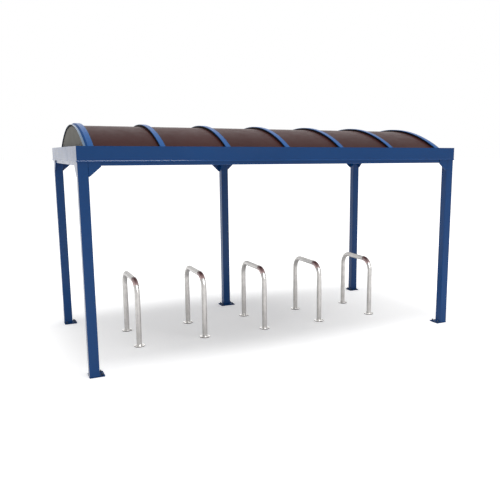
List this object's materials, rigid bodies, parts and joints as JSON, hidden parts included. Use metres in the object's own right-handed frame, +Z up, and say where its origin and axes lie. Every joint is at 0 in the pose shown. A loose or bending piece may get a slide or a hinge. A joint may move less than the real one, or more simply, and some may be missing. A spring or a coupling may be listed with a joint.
{
  "type": "bike shelter",
  "caption": "Free-standing open cycle shelter: square steel posts and beams carry a tinted barrel-vault roof over a row of bent tube cycle stands.",
  "frame": {"origin": "centre of the footprint, on the ground", "axes": "+X along the length, +Y from the open front to the side with the middle post, +Z up"},
  "size_m": [4.572, 2.305, 2.5448],
  "materials": {
    "frame_paint": "dark blue powder coat on galvanised steel",
    "hoop_paint": "mid-blue powder coat on curved glazing bars",
    "roof_sheet": "bronze-tinted twin-wall polycarbonate sheet",
    "end_sheet": "lighter bronze-tinted polycarbonate sheet",
    "seal_rubber": "black glazing rubber",
    "rim_paint": "paler grey-blue powder coat on the end angles",
    "stand_steel": "satin stainless tube",
    "band_red": "dark red sleeve"
  },
  "bodies": {
    "root": {"post_front_left": "frame_paint", "post_front_right": "frame_paint", "post_rear_left": "frame_paint", "post_rear_middle": "frame_paint", "post_rear_right": "frame_paint", "base_plates": "frame_paint", "gussets": "frame_paint", "kerb_front": "frame_paint", "kerb_rear": "frame_paint", "beam_front": "frame_paint", "beam_right": "frame_paint", "beam_rear": "frame_paint", "beam_left": "frame_paint", "fascia_front": "frame_paint", "fascia_right": "frame_paint", "fascia_rear": "frame_paint", "fascia_left": "frame_paint", "gutter_front": "frame_paint", "gutter_right": "frame_paint", "gutter_rear": "frame_paint", "gutter_left": "frame_paint", "hoop_1": "hoop_paint", "hoop_2": "hoop_paint", "hoop_3": "hoop_paint", "hoop_4": "hoop_paint", "hoop_5": "hoop_paint", "hoop_6": "hoop_paint", "hoop_7": "hoop_paint", "roof_panel_1": "roof_sheet", "roof_panel_2": "roof_sheet", "roof_panel_3": "roof_sheet", "roof_panel_4": "roof_sheet", "roof_panel_5": "roof_sheet", "roof_panel_6": "roof_sheet", "end_panel_left": "end_sheet", "end_panel_right": "end_sheet", "end_rim_left": "rim_paint", "end_rim_right": "rim_paint", "glazing_seals": "seal_rubber", "stand_1": "stand_steel", "stand_2": "stand_steel", "stand_3": "stand_steel", "stand_4": "stand_steel", "stand_5": "stand_steel", "stand_bands": "band_red"}
  },
  "joints": []
}
